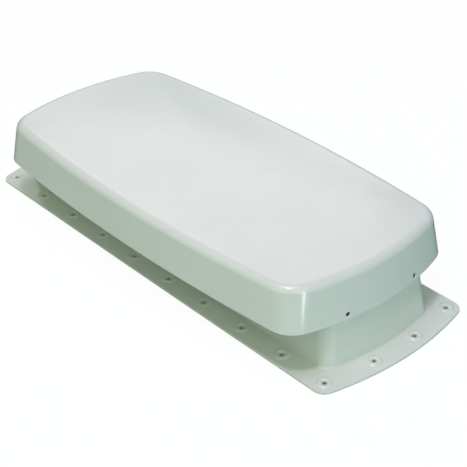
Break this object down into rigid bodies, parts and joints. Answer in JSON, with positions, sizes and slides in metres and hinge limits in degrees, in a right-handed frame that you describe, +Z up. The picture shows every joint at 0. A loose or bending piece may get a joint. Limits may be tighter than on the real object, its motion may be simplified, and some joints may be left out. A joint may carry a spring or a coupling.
{
  "type": "roof vent cover",
  "caption": "Rectangular moulded roof vent with bulged ends: a flanged base with a hollow stack, a screen inside it and a screwed-on cap that lets air out along both long sides.",
  "frame": {"origin": "on the roof surface, under the middle of the vent: the centre of the bottom face of the overall box", "axes": "+X along the vent's length, +Z up and away from the roof, +Y to the left when looking along +X, across the vent"},
  "size_m": [0.751, 0.3212, 0.1337],
  "materials": {
    "cap_plastic": "smooth moulded plastic, satin to semi-gloss, off-white",
    "base_plastic": "smooth moulded plastic, satin to semi-gloss, off-white",
    "screen_wire": "galvanised woven wire",
    "strip_aluminium": "mill finish, faintly brushed along its length",
    "screw_steel": "stainless steel, satin",
    "cap_screw_black": "black zinc coating, satin"
  },
  "bodies": {
    "root": {"base": "base_plastic", "bird_screen": "screen_wire", "cap": "cap_plastic", "cap_screw_left_front": "cap_screw_black", "cap_screw_left_rear": "cap_screw_black", "cap_screw_right_front": "cap_screw_black", "cap_screw_right_rear": "cap_screw_black", "screen_screw_01": "screw_steel", "screen_screw_02": "screw_steel", "screen_screw_03": "screw_steel", "screen_screw_04": "screw_steel", "screen_screw_05": "screw_steel", "screen_screw_06": "screw_steel", "screen_screw_07": "screw_steel", "screen_screw_08": "screw_steel", "screen_screw_09": "screw_steel", "screen_screw_10": "screw_steel", "screen_screw_11": "screw_steel", "screen_screw_12": "screw_steel", "screen_screw_13": "screw_steel", "screen_screw_14": "screw_steel", "screen_strip_front": "strip_aluminium", "screen_strip_left": "strip_aluminium", "screen_strip_rear": "strip_aluminium", "screen_strip_right": "strip_aluminium"}
  },
  "joints": []
}
